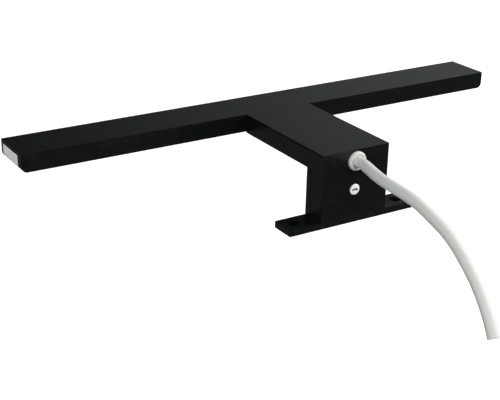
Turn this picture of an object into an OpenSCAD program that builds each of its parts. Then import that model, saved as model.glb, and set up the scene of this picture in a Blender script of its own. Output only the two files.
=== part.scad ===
// Picture light for a cabinet or frame top: a slim LED bar on an arm, with a two-hole foot.
// Millimetres. X runs along the bar, +Y towards the cable, +Z up.
// The origin is the centre of the foot's underside, midway between its two screw holes.

/* [Light bar] */
// Length of the bar
bar_length = 300; // [220:5:500]
// Depth of the bar, front to back
bar_depth = 27.5; // [26:0.5:34]
// Height of the bar
bar_height = 9.8; // [9.5:0.1:11]
// Thickness of the top plate, which covers the bar and the arm
plate_thickness = 2; // [1.8:0.1:2.2]
// Thickness of the bar's front wall
front_wall = 2.2; // [1.6:0.1:3]
// Depth of the rail along the bar's back
rear_rail = 5.3; // [4:0.1:6]
// Radius of the bar's lower end corners
end_radius = 3; // [1:0.5:4]
// Number of light emitting diodes
led_count = 30; // [12:2:60]

/* [Arm and leg] */
// From the leg's rear face to the bar's rear face
arm_reach = 73; // [72:1:110]
// Width of the arm, the leg and the bracket's upright
arm_width = 41; // [41:1:50]
// Height of the arm
arm_height = 10.5; // [10.2:0.1:11.5]
// Overall height, foot to top
total_height = 40; // [38:1:60]
// Wall thickness of the arm housing
wall = 1.4; // [1.2:0.1:1.6]

/* [Mounting bracket] */
// Length of the foot plate
foot_length = 78; // [76:1:100]
// Depth of the foot, the leg and the bracket together
foot_depth = 14; // [14:0.5:18]
// Thickness of the foot plate
foot_thickness = 3.6; // [3:0.1:5]
// Distance between the two screw holes in the foot
foot_hole_spacing = 65; // [62:1:66]
// Diameter of the foot's screw holes
foot_hole_d = 4.2; // [3.2:0.1:4.6]
// Diameter of their countersinks at the top
countersink_d = 6.2; // [5.2:0.1:8]
// Depth of the bracket's part of the leg
upright_depth = 4.4; // [4:0.1:5]

/* [Clamp screw] */
// Height of the screw's axis above the foot's underside
screw_z = 18.2; // [16:0.1:22]
// Diameter of the screw's head
screw_head_d = 5.8; // [5.4:0.1:8]
// Diameter of the threaded shank
screw_d = 4; // [3:0.5:4]

/* [Cable] */
// Diameter of the mains cable
cable_d = 5.9; // [5.6:0.1:6.2]
// Height of the cable where it leaves the leg
cable_z = 34; // [34:0.1:34.2]
// Diameter of the cable bush's outer flange
bush_d = 10.2; // [9.5:0.1:10.4]

/* [Hidden] */
$fn = 48;

// Overlap that keeps cuts clean
eps = 0.1;

// Faces of the leg, the arm and the bar
rear_y = foot_depth / 2;
front_y = -foot_depth / 2;
seam_y = front_y + upright_depth;
bar_rear_y = rear_y - arm_reach;
bar_front_y = bar_rear_y - bar_depth;
top_z = total_height;
plate_z = top_z - plate_thickness;
bar_z = top_z - bar_height;
arm_z = top_z - arm_height;
half_bar = bar_length / 2;
half_arm = arm_width / 2;

// Lip of the top plate over the arm's walls, and the shadow gap under it
lip_thickness = 0.6;
shadow_gap = 0.45;
arm_wall_top_z = top_z - lip_thickness - shadow_gap;
// Clearance between pieces that are fitted together by hand
slip = 0.1;

// Arm housing: floor of the arm, and the roof that it makes over the upright
floor_thickness = 1.5;
floor_z = arm_z + floor_thickness;
roof_drop = 0.9;
leg_inner_y = rear_y - wall;
leg_front_inner_y = seam_y + floor_thickness;
channel_depth = 0.5;

// Gaps between the lamp head and the bracket
seam_gap = 0.35;
upright_rear_y = seam_y - seam_gap;
upright_top_z = arm_z - roof_drop - 0.3;

// Running fits of the clamp screw and the locating pegs
fit = 0.05;
screw_r = screw_d / 2;
screw_head_r = screw_head_d / 2;
head_seat_y = rear_y - 2;
head_proud = 0.3;
recess_r = screw_head_r + 0.3;
cup_r = recess_r + 1.1;
cup_y = leg_inner_y - 2.4;
screw_tip_y = front_y + 1.4;
insert_r = 3;
insert_y = front_y + 1.1;
pad_r = 5;
peg_r = 1.5;
peg_x = 12;
peg_z = 12;
peg_end_y = 1.6;
clip_r = 3.4;
clip_thickness = 0.6;
clip_y = cup_y - clip_thickness - 0.2;
groove_depth = 0.4;
slot_length = 3.3;
slot_width = 0.9;
slot_depth = 0.9;

// Screws that hold the two housings together
post_x = half_arm - 5;
post_ys = [bar_rear_y + 5.5, front_y - 4];
post_r = 3.3;
post_top_z = floor_z + 1.5;
post_bore_r = 1.1;
post_clearance_r = 1.4;
post_head_r = 2.4;
post_head_depth = 1.6;

// Light emitting diodes and their board
diffuser_wall = 1.3;
diffuser_floor = 1.5;
tray_front_y = bar_front_y + front_wall + slip;
tray_rear_y = bar_rear_y - rear_rail - slip;
tray_mid_y = (tray_front_y + tray_rear_y) / 2;
tape_thickness = 0.3;
led_board_thickness = 1;
led_board_depth = 12;
half_led_board = half_bar - 4;
led_board_z = plate_z - tape_thickness - led_board_thickness;
led_pitch = (2 * half_led_board - 10) / (led_count - 1);
led_height = 0.7;
wire_gate = 12;

// Driver board in the arm
board_z = floor_z + 0.8;
board_thickness = 1;
board_top_z = board_z + board_thickness;
half_board = half_arm - 4;
board_front_y = bar_rear_y + 12;
board_rear_y = front_y - 10;
board_mid_y = (board_front_y + board_rear_y) / 2;
board_screw_x = half_board - 3;
board_screw_ys = [board_front_y + 3, board_rear_y - 3];
core_r = 1.1;
led_wire_r = 0.6;

// Cord clamp over the cable, inside the arm
cable_r = cable_d / 2;
strap_y = front_y - 0.5;
strap_width = 4;
strap_thickness = 0.7;
strap_screw_x = 6.9;
strap_foot_z = floor_z + 1.8;
cable_inner_y = front_y - 4;
bush_proud = 2;
bush_neck_r = 3.9;
bush_barb_r = 4.6;
bush_hole_r = 4;

// Centre line of the free cable, from the bush's face to its cut end
cable_route = [
    [0, 9, 34], [0, 13, 34], [1, 17.5, 34], [2.5, 25, 33.5], [3.5, 33, 33], [4, 41, 33],
    [4, 49, 32.5], [4, 57, 32], [4, 65, 30.5], [4.5, 72.5, 28.5], [4.5, 80, 26.5], [4.5, 87.5, 23],
    [5, 94.5, 19], [5.5, 101, 14.5], [6, 107.5, 9.5], [6.5, 113, 3.5], [7, 118, -2.5], [7.5, 122, -9.5]
];

// ---- helpers ----

// Block between two opposite corners
module span(low, high) {
    translate(low) cube(high - low);
}

// The same thing on both sides of the middle plane
module both_sides() {
    children();
    mirror([1, 0, 0]) children();
}

// Upright rod at x, y from z0 to z1
module rod_z(x, y, r, z0, z1) {
    translate([x, y, z0]) cylinder(r = r, h = z1 - z0);
}

// Rod along Y at x, z from y0 to y1
module rod_y(x, z, r, y0, y1) {
    translate([x, y0, z]) rotate([-90, 0, 0]) cylinder(r = r, h = y1 - y0);
}

// Solid of revolution about a Y axis: outline points are [radius, distance along +Y]
module turned_y(x, y, z) {
    translate([x, y, z]) rotate([-90, 0, 0]) rotate_extrude() children();
}

// Outline of the bar seen from the back: square at the top, rounded at both lower ends
module bar_outline(height) {
    translate([-half_bar, end_radius]) square([bar_length, height - end_radius]);
    translate([-half_bar + end_radius, 0]) square([bar_length - 2 * end_radius, height]);
    for (side = [-1, 1])
        translate([side * (half_bar - end_radius), end_radius]) circle(end_radius);
}

// Full-length slice of the bar between two depths
module bar_slice(y0, y1, height) {
    translate([0, y1, bar_z]) rotate([90, 0, 0]) linear_extrude(y1 - y0) bar_outline(height);
}

// Uniform cubic B-spline that starts and ends on the first and last control points
function spline_weights(t) =
    [pow(1 - t, 3), 3 * pow(t, 3) - 6 * t * t + 4, -3 * pow(t, 3) + 3 * t * t + 3 * t + 1, pow(t, 3)] / 6;
function with_ends(p) = let (n = len(p)) concat([2 * p[0] - p[1]], p, [2 * p[n - 1] - p[n - 2]]);
function spline_point(q, i, t) =
    let (w = spline_weights(t)) w[0] * q[i] + w[1] * q[i + 1] + w[2] * q[i + 2] + w[3] * q[i + 3];
function smooth_path(p, steps) =
    let (q = with_ends(p))
    concat([for (i = [0 : len(q) - 4], k = [0 : steps - 1]) spline_point(q, i, k / steps)],
           [p[len(p) - 1]]);

function unit(v) = v / norm(v);
// Direction of travel at ring i, exact at the first ring
function heading(p, path, i) =
    i == 0 ? unit(p[1] - p[0]) : unit(path[min(i + 1, len(path) - 1)] - path[i - 1]);
function ring(centre, along, r, sides) =
    let (side = unit(cross(along, [1, 0, 0])), up = cross(side, along))
    [for (k = [0 : sides - 1]) centre + r * (cos(360 * k / sides) * side + sin(360 * k / sides) * up)];

// Round tube swept along a smoothed path
module tube(p, r, sides, steps) {
    path = smooth_path(p, steps);
    rings = len(path);
    corners = [for (i = [0 : rings - 1]) each ring(path[i], heading(p, path, i), r, sides)];
    walls = [for (i = [0 : rings - 2], k = [0 : sides - 1])
        let (a = i * sides + k, b = i * sides + (k + 1) % sides)
        each [[a, b, a + sides], [b, b + sides, a + sides]]];
    first_cap = [for (k = [sides - 1 : -1 : 0]) k];
    last_cap = [for (k = [0 : sides - 1]) (rings - 1) * sides + k];
    polyhedron(points = corners, faces = concat([first_cap], walls, [last_cap]));
}

// ---- housings ----

// Top plate in one piece with the bar's walls and the leg's rear wall
module top_housing() {
    color([0.10, 0.11, 0.10])
    difference() {
        union() {
            span([-half_bar, bar_front_y, plate_z], [half_bar, bar_rear_y, top_z]);
            bar_slice(bar_front_y, bar_front_y + front_wall, bar_height);
            bar_slice(bar_rear_y - rear_rail, bar_rear_y, bar_height);
            span([-half_arm + wall + slip, bar_rear_y - 1, plate_z],
                 [half_arm - wall - slip, rear_y, top_z]);
            span([-half_arm, bar_rear_y - 1, top_z - lip_thickness], [half_arm, rear_y, top_z]);
            span([-half_arm, leg_inner_y, foot_thickness], [half_arm, rear_y, top_z]);
            rod_y(0, screw_z, cup_r, cup_y, rear_y - wall / 2);
            both_sides() for (y = post_ys) rod_z(post_x, y, post_r - 0.3, post_top_z, top_z - 1);
        }
        both_sides() for (y = post_ys) rod_z(post_x, y, post_bore_r, post_top_z - eps, plate_z - 0.5);
        span([-wire_gate / 2, bar_rear_y - rear_rail - eps, floor_z + 2],
             [wire_gate / 2, bar_rear_y + eps, plate_z]);
        rod_y(0, cable_z, bush_hole_r, leg_inner_y - eps, rear_y + eps);
        span([-5.5, leg_inner_y - 2, plate_z - eps], [5.5, leg_inner_y, plate_z + 0.9]);
        rod_y(0, screw_z, recess_r, head_seat_y, rear_y + eps);
        rod_y(0, screw_z, screw_r + fit, cup_y - eps, head_seat_y + eps);
    }
}

// Underside and sides of the arm, in one piece with the hollow leg
module arm_housing() {
    color([0.09, 0.10, 0.09])
    difference() {
        union() {
            span([-half_arm, bar_rear_y, arm_z], [half_arm, seam_y, floor_z]);
            span([-half_arm, front_y, arm_z - roof_drop], [half_arm, seam_y + eps, floor_z]);
            both_sides() {
                span([half_arm - wall, bar_rear_y, arm_z], [half_arm, leg_inner_y, arm_wall_top_z]);
                span([half_arm - wall, seam_y, foot_thickness], [half_arm, leg_inner_y, floor_z]);
                for (y = post_ys) rod_z(post_x, y, post_r, arm_z + eps, post_top_z);
                for (y = board_screw_ys) rod_z(board_screw_x, y, 2.2, arm_z + eps, board_z);
                rod_z(strap_screw_x, strap_y, 2.3, arm_z + eps, strap_foot_z);
            }
            span([-half_arm, seam_y, foot_thickness], [half_arm, leg_front_inner_y, floor_z]);
            span([-half_arm, seam_y, foot_thickness],
                 [half_arm, leg_inner_y, foot_thickness + floor_thickness]);
            rod_y(0, screw_z, screw_r + 1.6, seam_y + eps, leg_front_inner_y + 1);
        }
        both_sides() {
            for (y = post_ys) {
                rod_z(post_x, y, post_head_r, arm_z - eps, arm_z + post_head_depth);
                rod_z(post_x, y, post_clearance_r, arm_z, post_top_z + eps);
            }
            for (y = board_screw_ys) rod_z(board_screw_x, y, 0.95, arm_z + 0.6, board_z + eps);
            rod_z(strap_screw_x, strap_y, 0.95, arm_z + 0.6, strap_foot_z + eps);
            rod_y(peg_x, peg_z, peg_r + fit, seam_y - eps, leg_front_inner_y + eps);
        }
        span([-cable_r - 0.4, cable_inner_y - 1, floor_z - channel_depth],
             [cable_r + 0.4, leg_front_inner_y + eps, floor_z + eps]);
        rod_y(0, screw_z, screw_r + fit, seam_y - eps, leg_front_inner_y + 1 + eps);
    }
}

// Foot plate and upright that stay fixed to the cabinet or frame
module mounting_bracket() {
    hole_r = foot_hole_d / 2;
    sink_r = countersink_d / 2;
    color([0.11, 0.12, 0.11])
    difference() {
        union() {
            span([-foot_length / 2, front_y, 0], [foot_length / 2, rear_y, foot_thickness]);
            span([-half_arm, front_y, 0], [half_arm, upright_rear_y, upright_top_z]);
            rod_y(0, screw_z, pad_r, upright_rear_y - eps, seam_y);
            both_sides() rod_y(peg_x, peg_z, peg_r, upright_rear_y - 1, peg_end_y);
        }
        both_sides() {
            rod_z(foot_hole_spacing / 2, 0, hole_r, -eps, foot_thickness + eps);
            translate([foot_hole_spacing / 2, 0, foot_thickness - (sink_r - hole_r)])
                cylinder(r1 = hole_r, r2 = sink_r, h = sink_r - hole_r);
        }
        rod_y(0, screw_z, insert_r + fit, insert_y - 0.1, seam_y + eps);
    }
}

// Opal tray that closes the bar from below and shows at both ends
module diffuser() {
    color([0.90, 0.91, 0.90])
    difference() {
        bar_slice(tray_front_y, tray_rear_y, bar_height - plate_thickness - 0.05);
        span([-half_bar + diffuser_floor, tray_front_y + diffuser_wall, bar_z + diffuser_floor],
             [half_bar - diffuser_floor, tray_rear_y - diffuser_wall, plate_z + eps]);
        span([-wire_gate / 2, tray_rear_y - diffuser_wall - eps, floor_z + 2],
             [wire_gate / 2, tray_rear_y + eps, plate_z + eps]);
    }
}

// ---- light source ----

// Heat-conducting tape between the LED board and the top plate
module led_tape() {
    color([0.80, 0.80, 0.76])
    span([-half_led_board, tray_mid_y - led_board_depth / 2 + 0.5, plate_z - tape_thickness],
         [half_led_board, tray_mid_y + led_board_depth / 2 - 0.5, plate_z]);
}

// Aluminium-core board, with a solder pad under each LED lead and each wire
module led_board() {
    color([0.93, 0.94, 0.92])
    union() {
        span([-half_led_board, tray_mid_y - led_board_depth / 2, led_board_z],
             [half_led_board, tray_mid_y + led_board_depth / 2, led_board_z + led_board_thickness]);
        for (x = [-2.5, 2.5]) rod_z(x, tray_mid_y + 4, 1, led_board_z - 0.05, led_board_z + 0.1);
    }
}

// One LED: a package with a raised ring around its light-emitting face
module led() {
    difference() {
        span([-1.4, -1.75, -led_height], [1.4, 1.75, 0]);
        translate([0, 0, -led_height - eps]) cylinder(r = 1.1, h = eps + 0.15);
    }
}

module leds() {
    color([0.98, 0.86, 0.45])
    for (i = [0 : led_count - 1])
        translate([(i - (led_count - 1) / 2) * led_pitch, tray_mid_y, led_board_z]) led();
}

// ---- driver ----

module driver_board() {
    color([0.10, 0.38, 0.22])
    difference() {
        span([-half_board, board_front_y, board_z], [half_board, board_rear_y, board_top_z]);
        both_sides() for (y = board_screw_ys)
            rod_z(board_screw_x, y, 1.2, board_z - eps, board_top_z + eps);
    }
}

// Electrolytic capacitor lying along the board, with its crimp groove
module bulk_capacitor() {
    r = 2.2;
    length = 13;
    color([0.12, 0.14, 0.20])
    turned_y(9.5, board_mid_y - 10.5, board_top_z + r)
        difference() {
            square([r, length]);
            translate([r + 0.15, length - 2]) circle(0.4, $fn = 16);
        }
}

module film_capacitor() {
    color([0.80, 0.62, 0.12])
    span([-14.5, board_mid_y + 1, board_top_z], [-10.5, board_mid_y + 11, board_top_z + 4.2]);
}

// Drum-core choke with a winding between two flanges
module inductor() {
    color([0.30, 0.20, 0.12])
    translate([-4, board_mid_y - 6, board_top_z])
        rotate_extrude() {
            square([3, 0.7]);
            square([2.6, 4.2]);
            translate([0, 3.5]) square([3, 0.7]);
        }
}

// Gull-wing package: a body with rows of legs along two sides
module leg_package(size, legs, pitch) {
    translate([-size[0] / 2, -size[1] / 2, 0.1]) cube(size);
    for (i = [0 : legs - 1], side = [-1, 1])
        translate([(i - (legs - 1) / 2) * pitch - 0.2, side > 0 ? size[1] / 2 : -size[1] / 2 - 1, 0])
            cube([0.4, 1, 0.25]);
}

module bridge_rectifier() {
    color([0.13, 0.13, 0.14])
    translate([-11.5, board_mid_y - 6, board_top_z]) leg_package([4.7, 3.9, 1.5], 2, 2.5);
}

module driver_chip() {
    color([0.14, 0.14, 0.15])
    translate([1.5, board_mid_y + 2.5, board_top_z]) leg_package([4.9, 3.9, 1.4], 4, 1.27);
}

// Glass fuse with metal end caps
module fuse() {
    length = 8;
    color([0.82, 0.80, 0.74])
    turned_y(-8, board_mid_y + 8, board_top_z + 1.5) {
        square([1.2, length]);
        square([1.45, 1.8]);
        translate([0, length - 1.8]) square([1.45, 1.8]);
    }
}

// Disc varistor lying flat, with rounded edges
module varistor() {
    r = 3.4;
    height = 2.6;
    color([0.15, 0.30, 0.62])
    translate([9.3, board_mid_y + 9, board_top_z])
        rotate_extrude() {
            square([r - height / 2, height]);
            intersection() {
                translate([r - height / 2, height / 2]) circle(height / 2, $fn = 24);
                square([r, height]);
            }
        }
}

module chip_resistors() {
    color([0.20, 0.20, 0.21])
    for (i = [0 : 4])
        translate([13.2, board_mid_y - 10.5 + 2.6 * i, board_top_z]) cube([2, 1.25, 0.5]);
}

// Two-way terminal for the cable's cores, with its entries facing the leg
module input_terminal() {
    low = [-5, board_rear_y - 9, board_top_z];
    high = [5, board_rear_y - 1, board_top_z + 4.4];
    color([0.16, 0.50, 0.30])
    difference() {
        span(low, high);
        both_sides() {
            rod_y(2.5, board_top_z + 1.8, core_r + 0.15, high[1] - 4, high[1] + eps);
            rod_z(2.5, high[1] - 4.5, 1.3, high[2] - 0.6, high[2] + eps);
        }
    }
}

// Two-way plug and socket for the wires to the LED board
module output_connector() {
    low = [-3.6, board_front_y + 0.5, board_top_z];
    high = [3.6, board_front_y + 5.5, board_top_z + 3.8];
    color([0.94, 0.94, 0.90])
    difference() {
        span(low, high);
        both_sides() rod_y(1.5, board_top_z + 2, led_wire_r + 0.1, low[1] - eps, low[1] + 3);
    }
}

module insulation_sheet() {
    color([0.92, 0.90, 0.84])
    span([-half_board, board_front_y, plate_z - 0.35], [half_board, board_rear_y, plate_z - 0.1]);
}

// ---- wiring ----

// One mains core from the cable's sheath into the input terminal
module mains_core(side) {
    entry_z = board_top_z + 1.8;
    entry_y = board_rear_y - 1;
    tube([[side * 1.3, cable_inner_y, cable_z], [side * 1.3, cable_inner_y - 2, cable_z],
          [side * 2.5, entry_y + 2, entry_z], [side * 2.5, entry_y - 3, entry_z]], core_r, 10, 4);
}

module live_wire() {
    color([0.42, 0.22, 0.10]) mains_core(-1);
}

module neutral_wire() {
    color([0.12, 0.30, 0.70]) mains_core(1);
}

// One wire from the output connector, through the bar's rear rail, to the LED board
module led_wire(side) {
    start_y = board_front_y + 3;
    start_z = board_top_z + 2;
    pad_z = led_board_z - led_wire_r - 0.05;
    tube([[side * 1.5, start_y, start_z], [side * 1.5, start_y - 6, start_z],
          [side * 2.5, bar_rear_y, start_z], [side * 2.5, tray_rear_y, start_z + 0.2],
          [side * 2.5, tray_rear_y - 3, pad_z], [side * 2.5, tray_mid_y + 3, pad_z]],
         led_wire_r, 8, 3);
}

module led_wire_positive() {
    color([0.75, 0.10, 0.08]) led_wire(1);
}

module led_wire_negative() {
    color([0.08, 0.08, 0.08]) led_wire(-1);
}

// ---- cable ----

// Steel strap that holds the cable's sheath down on the arm's floor
module cord_clamp() {
    half = cable_r + 0.15;
    over_z = cable_z + cable_r + 0.05;
    low_y = strap_y - strap_width / 2;
    high_y = strap_y + strap_width / 2;
    color([0.70, 0.71, 0.72])
    difference() {
        union() {
            span([-half - strap_thickness, low_y, over_z],
                 [half + strap_thickness, high_y, over_z + strap_thickness]);
            both_sides() {
                span([half, low_y, strap_foot_z],
                     [half + strap_thickness, high_y, over_z + strap_thickness]);
                span([half, low_y, strap_foot_z], [9.4, high_y, strap_foot_z + strap_thickness]);
            }
        }
        both_sides()
            rod_z(strap_screw_x, strap_y, 1.2, strap_foot_z - eps, strap_foot_z + 1);
    }
}

// Pan-head screw pointing down, with a cross recess; z = 0 is under its head
module pan_screw(head_r, head_height, shank_r, shank_length) {
    difference() {
        union() {
            rod_z(0, 0, head_r, 0, head_height);
            rod_z(0, 0, shank_r, -shank_length, eps);
        }
        for (turn = [0, 90])
            rotate([0, 0, turn]) translate([0, 0, head_height]) cube([head_r * 1.1, 0.5, 1], true);
    }
}

module cord_clamp_screws() {
    color([0.74, 0.74, 0.75])
    both_sides() translate([strap_screw_x, strap_y, strap_foot_z + strap_thickness])
        pan_screw(1.9, 1.2, 0.9, 3.2);
}

module board_screws() {
    color([0.74, 0.74, 0.75])
    both_sides() for (y = board_screw_ys)
        translate([board_screw_x, y, board_top_z]) pan_screw(1.9, 1.2, 0.9, 2.6);
}

// Screws that go up through the arm's floor into the top housing
module housing_screws() {
    color([0.16, 0.16, 0.16])
    both_sides() for (y = post_ys)
        translate([post_x, y, arm_z + post_head_depth]) mirror([0, 0, 1])
            pan_screw(post_head_r - 0.2, 1.4, post_bore_r - fit, 6);
}

// Round bush with an outer flange, a neck in the wall's hole and an inner barb
module cable_bush() {
    flange_r = bush_d / 2;
    edge_r = 0.8;
    bore_r = cable_r + fit;
    color([0.84, 0.85, 0.83])
    turned_y(0, rear_y, cable_z)
        difference() {
            union() {
                square([flange_r, bush_proud - edge_r]);
                square([flange_r - edge_r, bush_proud]);
                translate([flange_r - edge_r, bush_proud - edge_r]) circle(edge_r, $fn = 24);
                translate([0, -wall - 0.2]) square([bush_neck_r, wall + 0.3]);
                translate([0, -wall - 1.4]) square([bush_barb_r, 1.4]);
            }
            translate([0, -wall - 2]) square([bore_r, wall + bush_proud + 3]);
        }
}

// Sheathed cable inside the arm and through the bush
module cable_tail() {
    color([0.88, 0.89, 0.87]) rod_y(0, cable_z, cable_r, cable_inner_y, rear_y + bush_proud);
}

// Free cable outside
module power_cable() {
    color([0.90, 0.91, 0.89]) tube(cable_route, cable_r, 12, 1);
}

// ---- clamp screw ----

// Slotted screw that draws the lamp head onto the bracket
module clamp_screw() {
    head_height = rear_y + head_proud - head_seat_y;
    chamfer = 0.3;
    color([0.88, 0.88, 0.87])
    difference() {
        union() {
            turned_y(0, head_seat_y, screw_z)
                polygon([[0, 0], [screw_head_r, 0], [screw_head_r, head_height - chamfer],
                         [screw_head_r - chamfer, head_height], [0, head_height]]);
            rod_y(0, screw_z, screw_r, screw_tip_y, head_seat_y + eps);
        }
        span([-slot_length / 2, rear_y + head_proud - slot_depth, screw_z - slot_width / 2],
             [slot_length / 2, rear_y + head_proud + eps, screw_z + slot_width / 2]);
        turned_y(0, clip_y, screw_z) translate([screw_r - groove_depth, -0.05])
            square([groove_depth + eps, clip_thickness + 0.1]);
    }
}

// Spring clip in the screw's groove, open on one side
module screw_retainer() {
    color([0.62, 0.62, 0.64])
    difference() {
        rod_y(0, screw_z, clip_r, clip_y, clip_y + clip_thickness);
        rod_y(0, screw_z, screw_r - groove_depth + fit, clip_y - eps, clip_y + clip_thickness + eps);
        span([-1.3, clip_y - eps, screw_z - clip_r - eps],
             [1.3, clip_y + clip_thickness + eps, screw_z]);
    }
}

// Brass insert in the bracket, with a flange at its mouth
module threaded_insert() {
    color([0.80, 0.65, 0.28])
    difference() {
        union() {
            rod_y(0, screw_z, insert_r, insert_y, seam_y - 0.1);
            rod_y(0, screw_z, insert_r - 0.3, insert_y - 0.05, insert_y + eps);
        }
        rod_y(0, screw_z, screw_r + fit, insert_y - 1, seam_y + eps);
    }
}

top_housing();
arm_housing();
diffuser();
led_tape();
led_board();
leds();
driver_board();
bulk_capacitor();
film_capacitor();
inductor();
bridge_rectifier();
fuse();
varistor();
driver_chip();
chip_resistors();
input_terminal();
output_connector();
insulation_sheet();
board_screws();
live_wire();
neutral_wire();
led_wire_positive();
led_wire_negative();
cord_clamp();
cord_clamp_screws();
cable_bush();
cable_tail();
power_cable();
clamp_screw();
screw_retainer();
housing_screws();
mounting_bracket();
threaded_insert();
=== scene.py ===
"""Picture light: the looks that go round the CAD frame. Metres, +Z up, +Y towards the cable."""

import math

import bmesh
import bpy
from mathutils import Matrix, Vector
from mathutils.bvhtree import BVHTree


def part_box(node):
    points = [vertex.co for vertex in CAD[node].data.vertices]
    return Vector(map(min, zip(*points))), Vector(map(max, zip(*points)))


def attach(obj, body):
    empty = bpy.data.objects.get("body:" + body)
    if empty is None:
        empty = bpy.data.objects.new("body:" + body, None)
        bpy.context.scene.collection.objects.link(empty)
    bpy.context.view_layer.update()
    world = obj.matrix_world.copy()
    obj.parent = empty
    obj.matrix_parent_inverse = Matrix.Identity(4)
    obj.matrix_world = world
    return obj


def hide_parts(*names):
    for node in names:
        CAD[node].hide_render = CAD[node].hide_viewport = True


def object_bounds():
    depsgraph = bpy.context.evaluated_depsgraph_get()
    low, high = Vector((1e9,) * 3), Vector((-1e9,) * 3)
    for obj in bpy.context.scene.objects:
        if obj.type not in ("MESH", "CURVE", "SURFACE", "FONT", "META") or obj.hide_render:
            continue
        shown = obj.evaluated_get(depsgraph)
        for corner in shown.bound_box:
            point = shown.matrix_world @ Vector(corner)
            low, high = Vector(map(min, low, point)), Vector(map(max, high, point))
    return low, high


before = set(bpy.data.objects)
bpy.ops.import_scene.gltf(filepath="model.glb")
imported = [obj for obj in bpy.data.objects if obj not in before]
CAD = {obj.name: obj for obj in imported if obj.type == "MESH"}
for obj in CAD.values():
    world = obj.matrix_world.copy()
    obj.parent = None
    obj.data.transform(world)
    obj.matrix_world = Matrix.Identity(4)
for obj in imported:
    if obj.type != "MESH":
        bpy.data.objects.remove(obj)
cad_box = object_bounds()

MM = 0.001


# ---- camera ----

CAMERA_PLACE = (0.3315, 0.4350, 0.2399)
CAMERA_AZIMUTH = 147.9
CAMERA_ELEVATION = 23.01
CAMERA_ROLL = 1.185
CAMERA_LENS = 82.1


def make_camera():
    """Long-lens camera behind the light, on its +X side and a little above it."""
    azimuth, elevation = math.radians(CAMERA_AZIMUTH), math.radians(CAMERA_ELEVATION)
    back = Vector((
        math.sin(azimuth) * math.cos(elevation),
        -math.cos(azimuth) * math.cos(elevation),
        math.sin(elevation),
    ))
    data = bpy.data.cameras.new("camera")
    data.lens = CAMERA_LENS
    data.clip_start, data.clip_end = 0.01, 50
    camera = bpy.data.objects.new("camera", data)
    aim = (-back).to_track_quat("-Z", "Y").to_matrix().to_4x4()
    roll = Matrix.Rotation(math.radians(CAMERA_ROLL), 4, "Z")
    camera.matrix_world = Matrix.Translation(CAMERA_PLACE) @ aim @ roll
    bpy.context.scene.collection.objects.link(camera)
    bpy.context.scene.camera = camera


make_camera()


# ---- shader groups ----

def group_tree(name, inputs, outputs):
    """Empty shader group: inputs are (name, type, default), outputs (name, type)."""
    tree = bpy.data.node_groups.new(name, "ShaderNodeTree")
    for label, kind, default in inputs:
        socket = tree.interface.new_socket(label, in_out="INPUT", socket_type=kind)
        if default is not None:
            socket.default_value = default
    for label, kind in outputs:
        tree.interface.new_socket(label, in_out="OUTPUT", socket_type=kind)
    return tree, tree.nodes.new("NodeGroupInput"), tree.nodes.new("NodeGroupOutput")


def add_noise(tree, vector, scale, detail=3.0, roughness=0.5):
    """Noise on the vector; scale is a number or another node's output."""
    noise = tree.nodes.new("ShaderNodeTexNoise")
    noise.inputs["Detail"].default_value = detail
    noise.inputs["Roughness"].default_value = roughness
    tree.links.new(vector, noise.inputs["Vector"])
    if isinstance(scale, (int, float)):
        noise.inputs["Scale"].default_value = scale
    else:
        tree.links.new(scale, noise.inputs["Scale"])
    return noise.outputs["Fac"]


def add_math(tree, operation, a, b=None):
    """One Math node, whose operands are numbers or other nodes' outputs."""
    step = tree.nodes.new("ShaderNodeMath")
    step.operation = operation
    for socket, value in zip(step.inputs, (a, b)):
        if isinstance(value, (int, float)):
            socket.default_value = value
        elif value is not None:
            tree.links.new(value, socket)
    return step.outputs[0]


def add_range(tree, value, low, high, to_low, to_high):
    """value mapped from low..high to to_low..to_high, clamped and smoothed."""
    node = tree.nodes.new("ShaderNodeMapRange")
    node.interpolation_type = "SMOOTHSTEP"
    tree.links.new(value, node.inputs["Value"])
    labels = ("From Min", "From Max", "To Min", "To Max")
    for label, bound in zip(labels, (low, high, to_low, to_high)):
        if isinstance(bound, (int, float)):
            node.inputs[label].default_value = bound
        else:
            tree.links.new(bound, node.inputs[label])
    return node.outputs["Result"]


def add_mix(tree, factor, a, b):
    """Colour a where factor is 0, b where it is 1."""
    mix = tree.nodes.new("ShaderNodeMix")
    mix.data_type = "RGBA"
    tree.links.new(factor, mix.inputs["Factor"])
    for label, value in (("A", a), ("B", b)):
        socket = next(s for s in mix.inputs if s.name == label and s.type == "RGBA")
        if isinstance(value, tuple):
            socket.default_value = (*value, 1.0)
        else:
            tree.links.new(value, socket)
    return next(s for s in mix.outputs if s.type == "RGBA")


def moulded_skin_group():
    """Fine spark-eroded texture, slow polish variation and handling marks of a moulded part."""
    tree, given, made = group_tree(
        "moulded_skin",
        [("Vector", "NodeSocketVector", None), ("Grain", "NodeSocketFloat", 5000.0),
         ("Polish", "NodeSocketFloat", 0.35), ("Spread", "NodeSocketFloat", 0.06)],
        [("Height", "NodeSocketFloat"), ("Roughness", "NodeSocketFloat"), ("Cloud", "NodeSocketFloat")],
    )
    vector = given.outputs["Vector"]
    grain = add_noise(tree, vector, given.outputs["Grain"], 2.0, 0.6)
    cloud = add_noise(tree, vector, 28.0, 4.0, 0.55)
    fine = add_noise(tree, vector, 900.0, 2.0, 0.5)
    drift = add_math(tree, "SUBTRACT", cloud, 0.5)
    speck = add_math(tree, "MULTIPLY", add_math(tree, "SUBTRACT", fine, 0.5), 0.5)
    change = add_math(tree, "MULTIPLY", add_math(tree, "ADD", drift, speck), given.outputs["Spread"])
    doubled = add_math(tree, "MULTIPLY", change, 2.0)
    rough = add_math(tree, "ADD", given.outputs["Polish"], doubled)
    tree.links.new(grain, made.inputs["Height"])
    tree.links.new(rough, made.inputs["Roughness"])
    tree.links.new(cloud, made.inputs["Cloud"])
    return tree


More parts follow.
